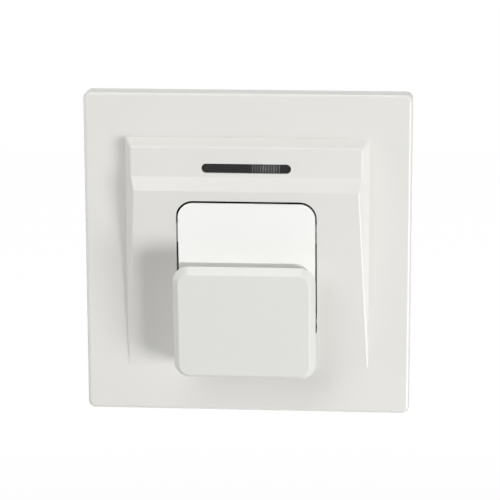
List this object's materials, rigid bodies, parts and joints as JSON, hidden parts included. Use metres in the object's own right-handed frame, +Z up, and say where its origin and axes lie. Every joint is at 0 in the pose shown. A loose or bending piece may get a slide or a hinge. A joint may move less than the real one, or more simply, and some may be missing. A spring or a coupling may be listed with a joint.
{
  "type": "key card switch",
  "caption": "Square wall plate with a raised sloping block, a card pocket whose card presses a sprung flap, a dark locator window and a rear housing with screw terminals.",
  "frame": {"origin": "middle of the plate on the wall plane", "axes": "+X right as seen from the room, +Z up, +Y into the wall, so the front faces -Y"},
  "size_m": [0.086, 0.0501, 0.086],
  "materials": {
    "cover_plastic": "satin moulded, fine spark texture",
    "lip_plastic": "satin moulded",
    "flap_plastic": "smooth moulded",
    "smoked_lens": "dark smoked, ribbed",
    "frame_plastic": "glass-filled, moulded",
    "housing_plastic": "moulded, flame retardant",
    "lid_plastic": "moulded",
    "zinc_steel": "zinc plated",
    "spring_steel": "bright drawn wire and strip",
    "brass": "stamped and tumbled",
    "board": "green solder mask on glass laminate",
    "switch_plastic": "moulded",
    "plunger_plastic": "moulded",
    "lamp_resin": "clear cast resin",
    "relay_plastic": "sealed case",
    "capacitor_plastic": "moulded box",
    "can_sleeve": "drawn can",
    "varistor_resin": "dipped resin",
    "resistor_body": "fireproof coating",
    "chip_resin": "moulded resin"
  },
  "bodies": {
    "base": {"front_cover": "cover_plastic", "card_lip": "lip_plastic", "indicator_lens": "smoked_lens", "flap_hinge_pin": "zinc_steel", "flap_return_spring": "spring_steel", "mounting_frame": "frame_plastic", "box_screws": "zinc_steel", "housing_screws": "zinc_steel", "rear_housing": "housing_plastic", "insulating_lid": "lid_plastic", "circuit_board": "board", "microswitch_case": "switch_plastic", "microswitch_pins": "zinc_steel", "microswitch_lever_pin": "zinc_steel", "locator_leds": "lamp_resin", "power_relay": "relay_plastic", "film_capacitor": "capacitor_plastic", "smoothing_capacitor": "can_sleeve", "varistor": "varistor_resin", "fusible_resistor": "resistor_body", "rectifier_diodes": "chip_resin", "timer_chip": "chip_resin", "transistor": "chip_resin", "terminal_clamps": "brass", "terminal_screws": "zinc_steel", "terminal_strips": "brass"},
    "flap": {"card_flap": "flap_plastic"},
    "plunger": {"microswitch_plunger": "plunger_plastic"},
    "lever": {"microswitch_lever": "spring_steel"}
  },
  "joints": [
    {"name": "flap_hinge", "type": "hinge", "parent": "base", "child": "flap", "pos_m": [0, -0.00296, -0.01848], "axis": [-1, 0, 0], "range_deg": [0, 4], "stiffness_Nm_per_rad": 0.15, "springref_deg": -5.73, "deforming": ["flap_return_spring"]},
    {"name": "lever_hinge", "type": "hinge", "parent": "base", "child": "lever", "pos_m": [0, -0.0012, -0.00678], "axis": [-1, 0, 0], "range_deg": [0, 7.58]},
    {"name": "plunger_slide", "type": "slide", "parent": "base", "child": "plunger", "axis": [0, 1, 0], "range_m": [0, 0.0008]}
  ],
  "couplings": [
    {"joint": "lever_hinge", "follows": "flap_hinge", "ratio": 1.892},
    {"joint": "plunger_slide", "follows": "flap_hinge", "m_per_rad": 0.0114}
  ]
}
